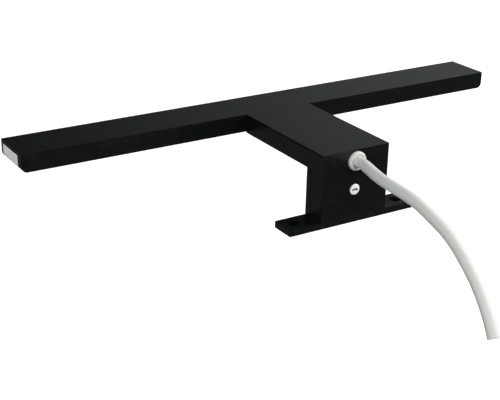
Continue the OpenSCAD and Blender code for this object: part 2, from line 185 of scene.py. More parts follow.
def edge_wear_group():
    """Mask of rubbed edges, from the attribute that the rounding leaves on each edge."""
    tree, given, made = group_tree(
        "edge_wear",
        [("Vector", "NodeSocketVector", None), ("Amount", "NodeSocketFloat", 0.5)],
        [("Mask", "NodeSocketFloat")],
    )
    edge = tree.nodes.new("ShaderNodeAttribute")
    edge.attribute_name = "edge"
    patch = add_noise(tree, given.outputs["Vector"], 160.0, 4.0, 0.7)
    worn = add_range(tree, patch, 0.42, 0.70, 0.15, 1.0)
    mask = add_math(tree, "MULTIPLY", edge.outputs["Fac"], worn)
    scaled = add_math(tree, "MULTIPLY", mask, given.outputs["Amount"])
    tree.links.new(scaled, made.inputs["Mask"])
    return tree


def drawn_lines_group():
    """Fine lines along a drawn, turned or extruded surface: stretch sets their direction."""
    tree, given, made = group_tree(
        "drawn_lines",
        [("Vector", "NodeSocketVector", None), ("Stretch", "NodeSocketVector", (1.0, 1.0, 1.0)),
         ("Scale", "NodeSocketFloat", 1000.0)],
        [("Height", "NodeSocketFloat"), ("Cloud", "NodeSocketFloat")],
    )
    scaled = tree.nodes.new("ShaderNodeVectorMath")
    scaled.operation = "MULTIPLY"
    tree.links.new(given.outputs["Vector"], scaled.inputs[0])
    tree.links.new(given.outputs["Stretch"], scaled.inputs[1])
    lines = add_noise(tree, scaled.outputs["Vector"], given.outputs["Scale"], 3.0, 0.6)
    cloud = add_noise(tree, given.outputs["Vector"], 45.0, 3.0, 0.5)
    tree.links.new(lines, made.inputs["Height"])
    tree.links.new(cloud, made.inputs["Cloud"])
    return tree


MOULDED_SKIN = moulded_skin_group()
EDGE_WEAR = edge_wear_group()
DRAWN_LINES = drawn_lines_group()


# ---- materials ----

def new_material(name, **sockets):
    """Material with a Principled shader, whose named sockets take plain values."""
    material = bpy.data.materials.new(name)
    material.use_nodes = True
    shader = material.node_tree.nodes["Principled BSDF"]
    for label, value in sockets.items():
        shader.inputs[label.replace("_", " ")].default_value = value
    return material, material.node_tree, shader


def place_group(tree, group, vector, **values):
    """Shared group in a material, with its own values on the group's inputs."""
    node = tree.nodes.new("ShaderNodeGroup")
    node.node_tree = group
    tree.links.new(vector, node.inputs["Vector"])
    for label, value in values.items():
        node.inputs[label].default_value = value
    return node


def object_vector(tree):
    return tree.nodes.new("ShaderNodeTexCoord").outputs["Object"]


def add_bump(tree, shader, height, distance):
    bump = tree.nodes.new("ShaderNodeBump")
    bump.inputs["Distance"].default_value = distance
    bump.inputs["Strength"].default_value = 1.0
    tree.links.new(height, bump.inputs["Height"])
    tree.links.new(bump.outputs["Normal"], shader.inputs["Normal"])


def moulded_plastic(name, dark, light, polish, spread=0.06, grain=5000.0, depth=0.004 * MM,
                    wear=None, worn=(0.05, 0.05, 0.05), **sockets):
    """Injection-moulded plastic: dark and light are the two ends of its slight colour drift."""
    material, tree, shader = new_material(name, **sockets)
    vector = object_vector(tree)
    skin = place_group(tree, MOULDED_SKIN, vector, Grain=grain, Polish=polish, Spread=spread)
    colour = add_mix(tree, skin.outputs["Cloud"], dark, light)
    if wear is not None:
        edges = place_group(tree, EDGE_WEAR, vector, Amount=wear)
        colour = add_mix(tree, edges.outputs["Mask"], colour, worn)
    tree.links.new(colour, shader.inputs["Base Color"])
    tree.links.new(skin.outputs["Roughness"], shader.inputs["Roughness"])
    add_bump(tree, shader, skin.outputs["Height"], depth)
    return material


def worked_metal(name, dark, light, roughness, stretch, scale=1200.0, depth=0.004 * MM):
    """Turned, drawn or rolled metal with fine lines."""
    material, tree, shader = new_material(name, Metallic=1.0)
    lines = place_group(tree, DRAWN_LINES, object_vector(tree), Stretch=stretch, Scale=scale)
    tree.links.new(add_mix(tree, lines.outputs["Height"], dark, light), shader.inputs["Base Color"])
    rough = add_range(tree, lines.outputs["Cloud"], 0.3, 0.7, roughness - 0.06, roughness + 0.08)
    tree.links.new(rough, shader.inputs["Roughness"])
    add_bump(tree, shader, lines.outputs["Height"], depth)
    return material


def extruded_jacket(name, dark, light, roughness, ripple=0.006 * MM):
    """PVC cable jacket: lengthwise die lines and slow waves, on the cable's own UV map."""
    material, tree, shader = new_material(name)
    uv = tree.nodes.new("ShaderNodeUVMap")
    uv.uv_map = "along"
    die = place_group(tree, DRAWN_LINES, uv.outputs["UV"], Stretch=(60.0, 18.0, 1.0), Scale=1.0)
    skin = place_group(tree, MOULDED_SKIN, object_vector(tree), Grain=2600.0, Polish=roughness, Spread=0.08)
    tree.links.new(add_mix(tree, skin.outputs["Cloud"], dark, light), shader.inputs["Base Color"])
    tree.links.new(skin.outputs["Roughness"], shader.inputs["Roughness"])
    height = add_math(tree, "ADD", die.outputs["Height"],
                      add_math(tree, "MULTIPLY", skin.outputs["Height"], 0.3))
    add_bump(tree, shader, height, ripple)
    shader.inputs["Subsurface Weight"].default_value = 0.08
    shader.inputs["Subsurface Radius"].default_value = (0.002, 0.002, 0.002)
    return material


def printed_board(name, mask, copper):
    """Circuit board: solder mask over tracks that show through it, with pads."""
    material, tree, shader = new_material(name, Coat_Weight=0.3, Coat_Roughness=0.2)
    vector = object_vector(tree)
    tracks = tree.nodes.new("ShaderNodeTexBrick")
    tracks.inputs["Scale"].default_value = 260.0
    tracks.inputs["Mortar Size"].default_value = 0.12
    tracks.inputs["Color1"].default_value = (0, 0, 0, 1)
    tracks.inputs["Color2"].default_value = (0, 0, 0, 1)
    tracks.inputs["Mortar"].default_value = (1, 1, 1, 1)
    tree.links.new(vector, tracks.inputs["Vector"])
    split = tree.nodes.new("ShaderNodeRGBToBW")
    tree.links.new(tracks.outputs["Color"], split.inputs["Color"])
    skin = place_group(tree, MOULDED_SKIN, vector, Grain=3000.0, Polish=0.32, Spread=0.05)
    tree.links.new(add_mix(tree, split.outputs["Val"], mask, copper), shader.inputs["Base Color"])
    tree.links.new(skin.outputs["Roughness"], shader.inputs["Roughness"])
    add_bump(tree, shader, split.outputs["Val"], 0.03 * MM)
    return material


BLACK_SATIN = moulded_plastic("black_satin", (0.0026, 0.0034, 0.0030), (0.0036, 0.0044, 0.0040), 0.24,
                              wear=0.15, worn=(0.020, 0.022, 0.021))
BRACKET_BLACK = moulded_plastic("bracket_black", (0.0028, 0.0038, 0.0035), (0.0040, 0.0050, 0.0047), 0.26,
                                wear=0.2, worn=(0.022, 0.024, 0.023))
# Near-black painted shade for the insides of the foot's screw holes.
HOLE_PAINTED_SHADE = moulded_plastic("hole_painted_shade", (0.0006, 0.0008, 0.0008), (0.0010, 0.0012, 0.0012), 0.75)
OPAL = moulded_plastic("opal_diffuser", (0.76, 0.78, 0.77), (0.82, 0.83, 0.82), 0.42, grain=2600.0,
                       depth=0.006 * MM, Subsurface_Weight=0.25, Subsurface_Radius=(0.004, 0.004, 0.004))
BUSH_WHITE = moulded_plastic("bush_white", (0.50, 0.52, 0.49), (0.58, 0.60, 0.57), 0.45, grain=2200.0,
                             depth=0.008 * MM)
NYLON_WHITE = moulded_plastic("nylon_white", (0.86, 0.86, 0.84), (0.91, 0.91, 0.89), 0.34, grain=2600.0)
CABLE_WHITE = extruded_jacket("cable_white", (0.55, 0.565, 0.535), (0.65, 0.665, 0.635), 0.48)
CONNECTOR_WHITE = moulded_plastic("connector_white", (0.72, 0.72, 0.66), (0.80, 0.80, 0.74), 0.4)
TERMINAL_GREEN = moulded_plastic("terminal_green", (0.02, 0.16, 0.06), (0.03, 0.20, 0.08), 0.4)
CHIP_EPOXY = moulded_plastic("chip_epoxy", (0.012, 0.012, 0.013), (0.020, 0.020, 0.022), 0.55)
FILM_BOX = moulded_plastic("film_box", (0.50, 0.30, 0.02), (0.60, 0.38, 0.03), 0.3)
VARISTOR_BLUE = moulded_plastic("varistor_blue", (0.02, 0.06, 0.32), (0.03, 0.09, 0.40), 0.25)
SLEEVE = moulded_plastic("capacitor_sleeve", (0.012, 0.014, 0.032), (0.018, 0.022, 0.045), 0.22)
LED_PHOSPHOR = moulded_plastic("led_phosphor", (0.86, 0.62, 0.12), (0.92, 0.70, 0.18), 0.3, grain=9000.0)
LED_BODY = moulded_plastic("led_body", (0.82, 0.82, 0.80), (0.88, 0.88, 0.86), 0.35)
HEAT_TAPE = moulded_plastic("heat_tape", (0.55, 0.55, 0.50), (0.62, 0.62, 0.57), 0.7)
INSULATION = moulded_plastic("insulation_film", (0.70, 0.66, 0.56), (0.78, 0.74, 0.64), 0.25)
WIRE_BROWN = moulded_plastic("wire_brown", (0.11, 0.035, 0.012), (0.14, 0.045, 0.016), 0.35)
WIRE_BLUE = moulded_plastic("wire_blue", (0.010, 0.06, 0.38), (0.014, 0.08, 0.45), 0.35)
WIRE_RED = moulded_plastic("wire_red", (0.42, 0.010, 0.008), (0.50, 0.014, 0.010), 0.35)
WIRE_BLACK = moulded_plastic("wire_black", (0.008, 0.008, 0.008), (0.012, 0.012, 0.012), 0.35)
ZINC = worked_metal("zinc_plate", (0.58, 0.60, 0.62), (0.70, 0.72, 0.74), 0.3, (1.0, 1.0, 6.0))
# Real black-oxide finish of the housing screws, also used as painted shade inside the clamp screw's slot.
BLACK_OXIDE_AND_SLOT_SHADE = worked_metal("black_oxide_and_slot_shade", (0.030, 0.030, 0.032), (0.050, 0.050, 0.052), 0.38,
                           (1.0, 1.0, 5.0))
BRASS = worked_metal("turned_brass", (0.62, 0.44, 0.16), (0.74, 0.55, 0.22), 0.25, (1.0, 8.0, 1.0))
COPPER = worked_metal("bare_copper", (0.66, 0.30, 0.17), (0.80, 0.40, 0.24), 0.25, (1.0, 1.0, 6.0))
WINDING = worked_metal("choke_winding", (0.34, 0.12, 0.05), (0.48, 0.18, 0.08), 0.3, (1.0, 1.0, 40.0))
NICKEL = worked_metal("nickel_caps", (0.62, 0.60, 0.55), (0.72, 0.70, 0.66), 0.2, (1.0, 6.0, 1.0))
BOARD_GREEN = printed_board("board_green", (0.008, 0.085, 0.03), (0.015, 0.16, 0.055))
BOARD_WHITE = printed_board("board_white", (0.78, 0.79, 0.76), (0.70, 0.71, 0.68))


# ---- mesh helpers ----

def add_object(name, mesh, material=None):
    """Object at the origin, whose mesh already holds its place."""
    piece = bpy.data.objects.new(name, mesh)
    bpy.context.scene.collection.objects.link(piece)
    if material is not None:
        mesh.materials.clear()
        mesh.materials.append(material)
    return piece


def mesh_from(name, corners, faces, smooth=True):
    mesh = bpy.data.meshes.new(name)
    mesh.from_pydata([tuple(c) for c in corners], [], faces)
    mesh.polygons.foreach_set("use_smooth", [smooth] * len(mesh.polygons))
    mesh.validate()
    return mesh


def closed_mesh(name, corners, faces, smooth=True):
    """Mesh whose faces are turned outwards; a smooth one keeps its sharp creases."""
    mesh = mesh_from(name, corners, faces, smooth)
    shape = bmesh.new()
    shape.from_mesh(mesh)
    bmesh.ops.recalc_face_normals(shape, faces=shape.faces)
    shape.to_mesh(mesh)
    shape.free()
    if smooth:
        finish_edges(mesh)
    return mesh


def stand_for(piece, node, body):
    """piece rides on body and shows in place of the CAD node."""
    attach(piece, body)
    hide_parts(node)
    return piece


def finish_edges(mesh, angle=35.0):
    """Smooth shading with sharp creases where faces meet at more than the angle."""
    mesh.polygons.foreach_set("use_smooth", [True] * len(mesh.polygons))
    mesh.set_sharp_from_angle(angle=math.radians(angle))


def apply_modifiers(piece):
    """Turns a piece and its modifiers into one plain mesh."""
    old = piece.data
    graph = bpy.context.evaluated_depsgraph_get()
    mesh = bpy.data.meshes.new_from_object(piece.evaluated_get(graph))
    mesh.name = piece.name
    piece.data = mesh
    piece.modifiers.clear()
    bpy.data.meshes.remove(old)


def cut_away(piece, cutter_mesh):
    """Exact boolean cut of a closed mesh out of a piece."""
    cutter = add_object("cutter", cutter_mesh)
    cut = piece.modifiers.new("cut", "BOOLEAN")
    cut.operation = "DIFFERENCE"
    cut.solver = "EXACT"
    cut.object = cutter
    apply_modifiers(piece)
    bpy.data.objects.remove(cutter)


# ---- swept tubes ----

def uniform_spline(points, steps):
    """The CAD model's B-spline: it starts and ends on the first and last points."""
    p = [Vector(q) for q in points]
    q = [2 * p[0] - p[1], *p, 2 * p[-1] - p[-2]]
    path = []
    for i in range(len(q) - 3):
        for k in range(steps):
            t = k / steps
            weights = ((1 - t) ** 3, 3 * t**3 - 6 * t**2 + 4, -3 * t**3 + 3 * t**2 + 3 * t + 1, t**3)
            path.append(sum((w * c for w, c in zip(weights, q[i:i + 4])), Vector()) / 6)
    path.append(p[-1])
    return path


def headings(path):
    """Direction of the path at each of its points."""
    inner = [b - a for a, b in zip(path, path[2:])]
    return [v.normalized() for v in (path[1] - path[0], *inner, path[-1] - path[-2])]


def ring_axes(along):
    """Two directions square to the path; none of the paths runs along X."""
    side = along.cross(Vector((1, 0, 0))).normalized()
    return side, side.cross(along).normalized()


def swept_tube(name, path, radii, sides):
    """Tube along a path, a radius for each ring, with a UV map: u round it, v along it in metres."""
    corners, faces = [], []
    for centre, along, radius in zip(path, headings(path), radii):
        side, up = ring_axes(along)
        for k in range(sides):
            turn = 2 * math.pi * k / sides
            corners.append(centre + radius * (math.cos(turn) * side + math.sin(turn) * up))
    for i in range(len(path) - 1):
        for k in range(sides):
            a, b = i * sides + k, i * sides + (k + 1) % sides
            faces.append((a, b, b + sides, a + sides))
    walls = len(faces)
    last = (len(path) - 1) * sides
    faces.append(tuple(reversed(range(sides))))
    faces.append(tuple(range(last, last + sides)))
    mesh = mesh_from(name, corners, faces)
    reach = [0.0]
    for a, b in zip(path, path[1:]):
        reach.append(reach[-1] + (b - a).length)
    layer = mesh.uv_layers.new(name="along")
    for polygon in mesh.polygons[:walls]:
        i, k = divmod(polygon.index, sides)
        for loop, (row, column) in zip(polygon.loop_indices, ((0, 0), (0, 1), (1, 1), (1, 0))):
            layer.data[loop].uv = ((k + column) / sides, reach[i + row])
    mesh.set_sharp_from_angle(angle=math.radians(50))
    return mesh


# ---- cable ----

CABLE_DIAMETER = 5.9 * MM
CABLE_ROUTE = [
    (0, 0.009, 0.034), (0, 0.013, 0.034), (0.001, 0.0175, 0.034), (0.0025, 0.025, 0.0335),
    (0.0035, 0.033, 0.033), (0.004, 0.041, 0.033), (0.004, 0.049, 0.0325), (0.004, 0.057, 0.032),
    (0.004, 0.065, 0.0305), (0.0045, 0.0725, 0.0285), (0.0045, 0.08, 0.0265), (0.0045, 0.0875, 0.023),
    (0.005, 0.0945, 0.019), (0.0055, 0.101, 0.0145), (0.006, 0.1075, 0.0095), (0.0065, 0.113, 0.0035),
    (0.007, 0.118, -0.0025), (0.0075, 0.122, -0.0095),
]
CABLE_SIDES = 40
CABLE_STEPS = 6
CUT_CHAMFER = 0.08 * MM
CORE_RADIUS = 1.15 * MM
CORE_OFFSET = 1.25 * MM
CORE_PROUD = 0.06 * MM
STRAND_RADIUS = 0.13 * MM
STRAND_STEP = 2.3 * STRAND_RADIUS


def make_cable():
    """Jacket with a lightly rounded cut end; the two cores show in the cut."""
    path = uniform_spline(CABLE_ROUTE, CABLE_STEPS)
    radius = CABLE_DIAMETER / 2
    radii = [radius] * (len(path) - 1) + [radius - CUT_CHAMFER]
    back = (path[-2] - path[-1]).normalized()
    path.insert(-1, path[-1] + 1.5 * CUT_CHAMFER * back)
    radii.insert(-1, radius)
    jacket = add_object("power_cable_jacket", swept_tube("power_cable_jacket", path, radii, CABLE_SIDES),
                        CABLE_WHITE)
    return jacket, path


def core_end(name, side, end, along, insulation):
    """Stub of one core in the jacket's cut: insulation round a bundle of copper strands."""
    across, up = ring_axes(along)
    centre = end + side * CORE_OFFSET * across
    tip = centre + CORE_PROUD * along
    path = [centre - 0.5 * MM * along, centre, tip]
    radii = [CORE_RADIUS, CORE_RADIUS, CORE_RADIUS - CORE_PROUD]
    piece = add_object(name, swept_tube(name, path, radii, 24), insulation)
    piece.data.materials.append(COPPER)
    strands = bmesh.new()
    strands.from_mesh(piece.data)
    spots = [(0, 0)]
    for ring in (1, 2):
        spots += [(ring * STRAND_STEP, 2 * math.pi * k / (6 * ring)) for k in range(6 * ring)]
    for reach, turn in spots:
        middle = tip + reach * (math.cos(turn) * across + math.sin(turn) * up)
        made = bmesh.ops.create_cone(strands, cap_ends=True, segments=10, radius1=STRAND_RADIUS,
                                     radius2=0.8 * STRAND_RADIUS, depth=0.3 * MM)
        aim = along.to_track_quat("Z", "Y").to_matrix().to_4x4()
        bmesh.ops.transform(strands, matrix=Matrix.Translation(middle) @ aim, verts=made["verts"])
        for corner in made["verts"]:
            for face in corner.link_faces:
                face.material_index = 1
    strands.to_mesh(piece.data)
    strands.free()
    finish_edges(piece.data)
    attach(piece, "lamp_head")
    return piece


cable, cable_path = make_cable()
cable_end, cable_aim = cable_path[-1], (cable_path[-1] - cable_path[-2]).normalized()
brown_end = core_end("cable_core_live", -1, cable_end, cable_aim, WIRE_BROWN)
blue_end = core_end("cable_core_neutral", 1, cable_end, cable_aim, WIRE_BLUE)
stand_for(cable, "power_cable", "lamp_head")


# ---- housings: the CAD shapes with their outer edges rounded ----

def whole_surface():
    """Search tree over every CAD node, to tell outer edges from hidden ones."""
    corners, faces = [], []
    for node in CAD.values():
        first = len(corners)
        corners += [v.co.copy() for v in node.data.vertices]
        faces += [tuple(first + i for i in polygon.vertices) for polygon in node.data.polygons]
    return BVHTree.FromPolygons(corners, faces)


OUTSIDE = whole_surface()


# Edges here bound the shadow gap under the top plate's lip, and the bracket's side of the leg's seam.
GAP_Z = (38.9 * MM, 39.45 * MM)
SEAM_Y = (-3.0 * MM, -2.7 * MM)
CREASE = math.radians(30)
SKIN = 0.02 * MM


def is_outer(edge):
    """A convex edge open to the air, away from the arm's gap and the bracket's side of the seam."""
    if len(edge.link_faces) != 2 or not edge.is_convex:
        return False
    if all(GAP_Z[0] < corner.co.z < GAP_Z[1] for corner in edge.verts):
        return False
    if all(SEAM_Y[0] < corner.co.y < SEAM_Y[1] for corner in edge.verts):
        return False
    if edge.calc_face_angle(0.0) < CREASE:
        return False
    out = (edge.link_faces[0].normal + edge.link_faces[1].normal).normalized()
    middle = (edge.verts[0].co + edge.verts[1].co) / 2
    return OUTSIDE.ray_cast(middle + SKIN * out, out, 0.15)[0] is None


def merged_copy(node):
    """bmesh of a CAD node with its doubles merged and its flat faces joined."""
    shape = bmesh.new()
    shape.from_mesh(CAD[node].data)
    bmesh.ops.remove_doubles(shape, verts=shape.verts, dist=0.002 * MM)
    bmesh.ops.dissolve_limit(shape, angle_limit=math.radians(0.5), verts=shape.verts, edges=shape.edges)
    shape.normal_update()
    return shape


def rounded_shape(name, node, radius, material):
    """Copy of a CAD node with rounded outer edges, which also carry the wear attribute."""
    shape = merged_copy(node)
    outer = [edge for edge in shape.edges if is_outer(edge)]
    made = bmesh.ops.bevel(shape, geom=outer, offset=radius, offset_type="OFFSET", segments=3,
                           profile=0.5, affect="EDGES", clamp_overlap=True, loop_slide=True)
    edge_layer = shape.verts.layers.float.new("edge")
    for face in shape.faces:
        face.smooth = False
    for face in made["faces"]:
        face.smooth = True
        for corner in face.verts:
            corner[edge_layer] = 1.0
    mesh = bpy.data.meshes.new(name)
    shape.to_mesh(mesh)
    shape.free()
    return add_object(name, mesh, material)


# The foot's two screw holes: distance from the middle, and radius at the countersink.
FOOT_HOLE_X = 32.5 * MM
FOOT_HOLE_R = 3.1 * MM


def darken_screw_holes(foot):
    """Countersinks and bores are coloured near-black and rough: painted shade inside the holes."""
    foot.data.materials.append(HOLE_PAINTED_SHADE)
    for face in foot.data.polygons:
        reach = math.hypot(abs(face.center.x) - FOOT_HOLE_X, face.center.y)
        if reach < FOOT_HOLE_R and abs(face.normal.z) < 0.9:
            face.material_index = 1


# Piece, CAD node, edge radius, material, body and slot.
HOUSINGS = [
    ("top_housing_shell", "top_housing", 0.15 * MM, BLACK_SATIN, "lamp_head", "black_plastic"),
    ("arm_housing_shell", "arm_housing", 0.15 * MM, BLACK_SATIN, "lamp_head", "black_plastic"),
    ("mounting_bracket_shell", "mounting_bracket", 0.15 * MM, BRACKET_BLACK, "bracket", "bracket_black"),
    ("diffuser_tray", "diffuser", 0.12 * MM, OPAL, "lamp_head", "opal_plastic"),
]
for name, node, radius, material, body, slot in HOUSINGS:
    piece = rounded_shape(name, node, radius, material)
    if node == "mounting_bracket":
        darken_screw_holes(piece)
    stand_for(piece, node, body)


# ---- turned pieces ----

def arc(centre_r, centre_y, radius, start, end, steps=6):
    """Points of an arc in a turned outline, as (radius, distance along Y); angles in degrees."""
    turns = [math.radians(start + (end - start) * k / steps) for k in range(steps + 1)]
    return [(centre_r + radius * math.cos(a), centre_y + radius * math.sin(a)) for a in turns]


def turned_shape(name, outline, x, z, sides, closed_ring):
    """Outline (radius, y) spun about a line along Y at x, z. A ring joins its last point to its first."""
    corners = []
    for r, y in outline:
        for k in range(sides):
            turn = 2 * math.pi * k / sides
            corners.append((x + r * math.cos(turn), y, z + r * math.sin(turn)))
    rows = len(outline)
    faces = []
    for i in range(rows if closed_ring else rows - 1):
        j = (i + 1) % rows
        for k in range(sides):
            m = (k + 1) % sides
            faces.append((i * sides + k, i * sides + m, j * sides + m, j * sides + k))
    if not closed_ring:
        faces.append(tuple(reversed(range(sides))))
        faces.append(tuple(range((rows - 1) * sides, rows * sides)))
    return closed_mesh(name, corners, faces)


REAR_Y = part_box("top_housing")[1].y
CABLE_Z = CABLE_ROUTE[0][2]


def make_bush():
    """Flange with a rounded rim and a dished face, a neck in the wall's hole and an inner barb."""
    low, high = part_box("cable_bush")
    flange_r = (high.x - low.x) / 2
    face_y = high.y
    bore_r = CABLE_DIAMETER / 2 + 0.05 * MM
    neck_r = 3.9 * MM
    barb_r = 4.6 * MM
    rim = 0.9 * MM
    dish = 0.4 * MM
    mouth = 0.12 * MM
    seat = REAR_Y + 0.02 * MM
    inner_y = REAR_Y - 1.45 * MM
    outline = [
        (bore_r, low.y),
        (barb_r - 0.5 * MM, low.y),
        (barb_r, low.y + 0.9 * MM),
        (barb_r, inner_y),
        (neck_r, inner_y),
        (neck_r, seat),
        (flange_r - 0.15 * MM, seat),
        (flange_r, REAR_Y + 0.2 * MM),
        *arc(flange_r - rim, face_y - rim, rim, 0, 90),
        (flange_r - rim - 0.15 * MM, face_y),
        *arc(flange_r - rim - 0.15 * MM - dish, face_y, dish, 0, -90, 4),
        (bore_r + mouth, face_y - dish),
        (bore_r, face_y - dish - 0.2 * MM),
    ]
    return turned_shape("cable_bush_moulding", outline, 0.0, CABLE_Z, 64, True)


bush = add_object("cable_bush_moulding", make_bush(), BUSH_WHITE)
stand_for(bush, "cable_bush", "lamp_head")


# ---- clamp screw ----

SCREW_Z = sum(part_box("clamp_screw")[i].z for i in (0, 1)) / 2
THREAD_PITCH = 0.7 * MM
THREAD_DEPTH = 0.35 * MM


def helix_surface(name, radius_at, y0, y1, z, rows, sides):
    """Closed rod along Y whose radius follows radius_at(turn, y), such as a thread or a knurl."""
    corners, faces = [], []
    for i in range(rows + 1):
        y = y0 + (y1 - y0) * i / rows
        for k in range(sides):
            turn = 2 * math.pi * k / sides
            r = radius_at(turn, y)
            corners.append((r * math.cos(turn), y, z + r * math.sin(turn)))
    for i in range(rows):
        for k in range(sides):
            a, b = i * sides + k, i * sides + (k + 1) % sides
            faces.append((a, a + sides, b + sides, b))
    faces.append(tuple(range(sides)))
    faces.append(tuple(reversed(range(rows * sides, (rows + 1) * sides))))
    return mesh_from(name, corners, faces)


def thread_radius(crest, y_tip, y_end):
    """Right-hand thread that fades out at both ends of the threaded stretch."""
    def radius_at(turn, y):
        phase = ((y - y_tip) / THREAD_PITCH + turn / (2 * math.pi)) % 1.0
        depth = THREAD_DEPTH * abs(2 * phase - 1)
        lead_in = min(1.0, (y - y_tip) / THREAD_PITCH)
        fade = min(1.0, max(0.0, (y_end - y) / THREAD_PITCH))
        return crest - THREAD_DEPTH * (1 - lead_in) - depth * fade
    return radius_at


def slot_cutter(width, height, y0, y1, z):
    """Rounded slot, drawn as an outline in the XZ plane and pushed along Y."""
    half = width / 2 - height / 2
    outline = []
    for side, start in ((1, -90), (-1, 90)):
        for k in range(9):
            turn = math.radians(start + 180 * k / 8)
            outline.append((side * half + height / 2 * math.cos(turn), z + height / 2 * math.sin(turn)))
    n = len(outline)
    corners = [(x, y, zz) for y in (y0, y1) for x, zz in outline]
    faces = [tuple(range(n)), tuple(reversed(range(n, 2 * n)))]
    faces += [(k, k + n, (k + 1) % n + n, (k + 1) % n) for k in range(n)]
    return closed_mesh("slot_cutter", corners, faces, smooth=False)


SLOT_LENGTH = 3.5 * MM
SLOT_WIDTH = 1.25 * MM
SLOT_DEPTH = 1.6 * MM
SHANK_CREST = 1.98 * MM
PLAIN_SHANK = 3.6 * MM
ROD_CENTRE = 0.02 * MM


def make_clamp_screw():
    """White nylon head and its thread; the faces inside the driver slot are coloured dark as painted shade.
    """
    low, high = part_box("clamp_screw")
    head_r = (high.x - low.x) / 2
    seat_y = REAR_Y - 1.97 * MM
    rim = 0.35 * MM
    crown = 0.06 * MM
    outline = [
        (ROD_CENTRE, seat_y), (head_r - 0.1 * MM, seat_y), (head_r, seat_y + 0.1 * MM),
        *arc(head_r - rim, high.y - rim - crown, rim, 0, 80),
        (head_r * 0.55, high.y - crown * 0.3), (ROD_CENTRE, high.y),
    ]
    name = "clamp_screw_turned"
    head = add_object(name, turned_shape(name, outline, 0.0, SCREW_Z, 72, False), NYLON_WHITE)
    cut_away(head, slot_cutter(SLOT_LENGTH, SLOT_WIDTH, high.y - SLOT_DEPTH, high.y + 1 * MM, SCREW_Z))
    # The slot's inner faces take the dark metal as painted shade in the slot.
    head.data.materials.append(BLACK_OXIDE_AND_SLOT_SHADE)
    for face in head.data.polygons:
        across, up = abs(face.center.x), abs(face.center.z - SCREW_Z)
        inside = across < 0.52 * SLOT_LENGTH and up < 0.52 * SLOT_WIDTH
        if inside and seat_y + 0.1 * MM < face.center.y < high.y - 0.2 * MM:
            face.material_index = 1
    thread = thread_radius(SHANK_CREST, low.y, seat_y - PLAIN_SHANK)
    shank = helix_surface("shank", thread, low.y, seat_y + 0.05 * MM, SCREW_Z, 150, 36)
    return head, add_object("shank", shank)


def join_meshes(target, other):
    """Adds another piece's mesh to the target's, keeping the target's material."""
    shape = bmesh.new()
    shape.from_mesh(target.data)
    shape.from_mesh(other.data)
    bmesh.ops.recalc_face_normals(shape, faces=shape.faces)
    shape.to_mesh(target.data)
    shape.free()
    bpy.data.objects.remove(other)
    finish_edges(target.data)
    return target


clamp_screw = join_meshes(*make_clamp_screw())
stand_for(clamp_screw, "clamp_screw", "clamp_screw")


# ---- repeated pieces ----

def even_grid_tree():
    """Copies of the given mesh on an even grid: columns along X, rows along Y."""
    tree = bpy.data.node_groups.new("even_grid", "GeometryNodeTree")
    face = tree.interface
    face.new_socket("Unit", in_out="INPUT", socket_type="NodeSocketGeometry")
    for label, kind in (("Columns", "NodeSocketInt"), ("Rows", "NodeSocketInt"),
                        ("Column Step", "NodeSocketVector"), ("Row Step", "NodeSocketVector"),
                        ("First", "NodeSocketVector"), ("Finish", "NodeSocketMaterial")):
        face.new_socket(label, in_out="INPUT", socket_type=kind)
    face.new_socket("Grid", in_out="OUTPUT", socket_type="NodeSocketGeometry")
    given = tree.nodes.new("NodeGroupInput")
    made = tree.nodes.new("NodeGroupOutput")
    link = tree.links.new
    placed = given.outputs["Unit"]
    for count, step, first in (("Columns", "Column Step", None), ("Rows", "Row Step", "First")):
        line = tree.nodes.new("GeometryNodeMeshLine")
        link(given.outputs[count], line.inputs["Count"])
        link(given.outputs[step], line.inputs["Offset"])
        if first is not None:
            link(given.outputs[first], line.inputs["Start Location"])
        copies = tree.nodes.new("GeometryNodeInstanceOnPoints")
        link(line.outputs["Mesh"], copies.inputs["Points"])
        link(placed, copies.inputs["Instance"])
        placed = copies.outputs["Instances"]
    real = tree.nodes.new("GeometryNodeRealizeInstances")
    painted = tree.nodes.new("GeometryNodeSetMaterial")
    link(placed, real.inputs["Geometry"])
    link(real.outputs["Geometry"], painted.inputs["Geometry"])
    link(given.outputs["Finish"], painted.inputs["Material"])
    link(painted.outputs["Geometry"], made.inputs["Grid"])
    return tree


EVEN_GRID = even_grid_tree()


def grid_of(name, unit, columns, rows, column_step, row_step, first, material):
    """Object made of copies of the unit mesh, with the copies turned into one plain mesh."""
    piece = add_object(name, unit, material)
    grid = piece.modifiers.new("grid", "NODES")
    grid.node_group = EVEN_GRID
    values = {"Columns": columns, "Rows": rows, "Column Step": column_step, "Row Step": row_step,
              "First": first, "Finish": material}
    for item in EVEN_GRID.interface.items_tree:
        if item.name in values:
            grid[item.identifier] = values[item.name]
    apply_modifiers(piece)
    return piece


def stacked_rings(name, rings):
    """Closed mesh through a stack of rings with the same number of points, capped at both ends."""
    sides = len(rings[0])
    corners = [corner for ring in rings for corner in ring]
    faces = [tuple(reversed(range(sides))), tuple(range(len(corners) - sides, len(corners)))]
    for i in range(len(rings) - 1):
        for k in range(sides):
            a, b = i * sides + k, i * sides + (k + 1) % sides
            faces.append((a, b, b + sides, a + sides))
    return closed_mesh(name, corners, faces)


def soft_rectangle(half_x, half_y, z, sides=16, power=5.0):
    """Ring of points on a rectangle with rounded corners."""
    ring = []
    for k in range(sides):
        turn = 2 * math.pi * (k + 0.5) / sides
        c, s = math.cos(turn), math.sin(turn)
        reach = (abs(c) ** power + abs(s) ** power) ** (-1 / power)
        ring.append((half_x * reach * c, half_y * reach * s, z))
    return ring


def circle_ring(radius, z, sides=16):
    """Ring of points on a circle, in step with soft_rectangle."""
    turns = [2 * math.pi * (k + 0.5) / sides for k in range(sides)]
    return [(radius * math.cos(a), radius * math.sin(a), z) for a in turns]


LED_COUNT = 30
LED_HALF_LENGTH = 1.4 * MM


